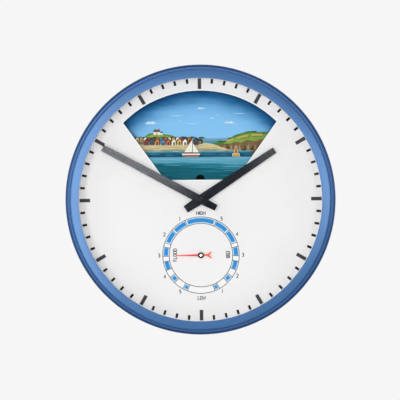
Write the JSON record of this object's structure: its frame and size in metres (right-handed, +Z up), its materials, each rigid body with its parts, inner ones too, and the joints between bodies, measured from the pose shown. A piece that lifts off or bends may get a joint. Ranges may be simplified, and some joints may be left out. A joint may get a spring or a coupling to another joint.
{
  "type": "tide clock",
  "caption": "Round wall clock with a blue case, hour and minute hands, a tide sub-dial with a red pointer, and a picture window where a sea plate rises and falls.",
  "frame": {"origin": "where the hands' axis meets the wall plane, on the back of the access door", "axes": "+X to the viewer's right, +Z up, +Y into the wall; the dial faces -Y"},
  "size_m": [0.3, 0.05, 0.3],
  "materials": {
    "case_paint": "semi-gloss blue paint",
    "bezel_paint": "semi-gloss blue paint",
    "lens_glass": "clear flat glass",
    "gasket_rubber": "black rubber",
    "spacer_white": "white moulded plastic",
    "dial_white": "matt white painted board",
    "sea_print": "printed sea on a thin board",
    "cutout_print": "printed cut-out with a pale edge",
    "picture_print": "printed picture board",
    "chassis_black": "black moulded plastic",
    "rail_grey": "grey acetal",
    "post_alloy": "turned aluminium",
    "screw_zinc": "zinc plated",
    "cover_black": "black textured plastic",
    "hanger_steel": "zinc plated sheet",
    "hand_black": "satin black paint",
    "pointer_red": "red paint",
    "cap_black": "gloss black",
    "brass": "turned brass",
    "movement_black": "black moulded plastic",
    "plate_white": "natural moulded plastic",
    "board_green": "circuit board",
    "stator_steel": "bare laminated steel",
    "coil_copper": "enamelled copper wire",
    "magnet_grey": "plastic bonded magnet",
    "wheel_acetal": "natural acetal",
    "knob_white": "white moulded plastic",
    "battery_jacket": "plain printed jacket",
    "contact_steel": "nickel plated strip"
  },
  "bodies": {
    "case": {"case_drum": "case_paint", "bezel_ring": "bezel_paint", "lens": "lens_glass", "lens_gasket": "gasket_rubber", "spacer_ring": "spacer_white", "dial_plate": "dial_white", "picture_board": "picture_print", "chassis_plate": "chassis_black", "guide_rail_left": "rail_grey", "guide_rail_right": "rail_grey", "dial_posts": "post_alloy", "rear_posts": "post_alloy", "post_screws": "screw_zinc", "cover_screws": "screw_zinc", "door_screws": "screw_zinc", "back_cover": "cover_black", "access_door": "cover_black", "hanger_plate": "hanger_steel", "hanger_rivets": "screw_zinc", "clock_housing": "movement_black", "clock_cover": "movement_black", "clock_train_plate": "plate_white", "clock_circuit_board": "board_green", "clock_motor_stator": "stator_steel", "clock_motor_coil": "coil_copper", "clock_battery": "battery_jacket", "clock_battery_contacts": "contact_steel", "clock_fixing_nut": "brass", "tide_housing": "movement_black", "tide_cover": "movement_black", "tide_train_plate": "plate_white", "tide_circuit_board": "board_green", "tide_motor_stator": "stator_steel", "tide_motor_coil": "coil_copper", "tide_battery": "battery_jacket", "tide_battery_contacts": "contact_steel", "tide_fixing_nut": "brass"},
    "minute_hand": {"minute_hand": "hand_black", "hand_cap_nut": "cap_black", "clock_arbor": "brass"},
    "hour_hand": {"hour_hand": "hand_black", "clock_hour_wheel": "wheel_acetal"},
    "tide_pointer": {"tide_pointer": "pointer_red", "pointer_cap": "cap_black", "tide_crank": "brass", "tide_hour_wheel": "wheel_acetal"},
    "tide_arbor": {"tide_arbor": "brass"},
    "sea": {"sea_plate": "sea_print", "boat_cutout": "cutout_print", "buoy_cutout": "cutout_print"},
    "clock_motion_wheel": {"clock_motion_wheel": "wheel_acetal"},
    "clock_set_knob": {"clock_set_knob": "knob_white"},
    "clock_centre_wheel": {"clock_centre_wheel": "wheel_acetal"},
    "clock_third_wheel": {"clock_third_wheel": "wheel_acetal"},
    "clock_rotor": {"clock_rotor": "magnet_grey"},
    "tide_motion_wheel": {"tide_motion_wheel": "wheel_acetal"},
    "tide_set_knob": {"tide_set_knob": "knob_white"},
    "tide_centre_wheel": {"tide_centre_wheel": "wheel_acetal"},
    "tide_third_wheel": {"tide_third_wheel": "wheel_acetal"},
    "tide_rotor": {"tide_rotor": "magnet_grey"}
  },
  "joints": [
    {"name": "minute_hand", "type": "hinge", "parent": "case", "child": "minute_hand", "pos_m": [0, -0.0405, 0], "axis": [0, 1, 0], "continuous": true},
    {"name": "hour_hand", "type": "hinge", "parent": "case", "child": "hour_hand", "pos_m": [0, -0.0389, 0], "axis": [0, 1, 0], "continuous": true},
    {"name": "clock_motion_wheel", "type": "hinge", "parent": "case", "child": "clock_motion_wheel", "pos_m": [0.012, -0.0205, 0], "axis": [0, 1, 0], "continuous": true},
    {"name": "clock_set_knob", "type": "hinge", "parent": "case", "child": "clock_set_knob", "pos_m": [0.018, -0.0055, 0.01039], "axis": [0, 1, 0], "continuous": true},
    {"name": "clock_centre_wheel", "type": "hinge", "parent": "case", "child": "clock_centre_wheel", "pos_m": [0, -0.0175, 0], "axis": [0, 1, 0], "continuous": true},
    {"name": "clock_third_wheel", "type": "hinge", "parent": "case", "child": "clock_third_wheel", "pos_m": [-0.00752, -0.0155, 0.00494], "axis": [0, 1, 0], "continuous": true},
    {"name": "clock_rotor", "type": "hinge", "parent": "case", "child": "clock_rotor", "pos_m": [-0.006, -0.013, 0.0133], "axis": [0, 1, 0], "continuous": true},
    {"name": "tide_pointer", "type": "hinge", "parent": "case", "child": "tide_pointer", "pos_m": [0, -0.0375, -0.0619], "axis": [0, 1, 0], "continuous": true},
    {"name": "tide_arbor", "type": "hinge", "parent": "case", "child": "tide_arbor", "pos_m": [0, -0.03, -0.0619], "axis": [0, 1, 0], "continuous": true},
    {"name": "tide_motion_wheel", "type": "hinge", "parent": "case", "child": "tide_motion_wheel", "pos_m": [0.012, -0.0205, -0.0619], "axis": [0, 1, 0], "continuous": true},
    {"name": "tide_set_knob", "type": "hinge", "parent": "case", "child": "tide_set_knob", "pos_m": [0.018, -0.0055, -0.05151], "axis": [0, 1, 0], "continuous": true},
    {"name": "tide_centre_wheel", "type": "hinge", "parent": "case", "child": "tide_centre_wheel", "pos_m": [0, -0.0175, -0.0619], "axis": [0, 1, 0], "continuous": true},
    {"name": "tide_third_wheel", "type": "hinge", "parent": "case", "child": "tide_third_wheel", "pos_m": [-0.00752, -0.0155, -0.05696], "axis": [0, 1, 0], "continuous": true},
    {"name": "tide_rotor", "type": "hinge", "parent": "case", "child": "tide_rotor", "pos_m": [-0.006, -0.013, -0.0486], "axis": [0, 1, 0], "continuous": true},
    {"name": "sea_slide", "type": "slide", "parent": "case", "child": "sea", "axis": [0, 0, 1], "range_m": [-0.022, 0.022]}
  ],
  "couplings": [
    {"joint": "clock_motion_wheel", "follows": "minute_hand", "ratio": -0.33333},
    {"joint": "hour_hand", "follows": "minute_hand", "ratio": 0.083333},
    {"joint": "clock_set_knob", "follows": "minute_hand", "ratio": 1},
    {"joint": "clock_third_wheel", "follows": "clock_centre_wheel", "ratio": -8},
    {"joint": "clock_rotor", "follows": "clock_centre_wheel", "ratio": 60},
    {"joint": "tide_motion_wheel", "follows": "tide_pointer", "ratio": -4},
    {"joint": "tide_arbor", "follows": "tide_pointer", "ratio": 12},
    {"joint": "tide_set_knob", "follows": "tide_pointer", "ratio": 12},
    {"joint": "tide_third_wheel", "follows": "tide_centre_wheel", "ratio": -8},
    {"joint": "tide_rotor", "follows": "tide_centre_wheel", "ratio": 60}
  ]
}
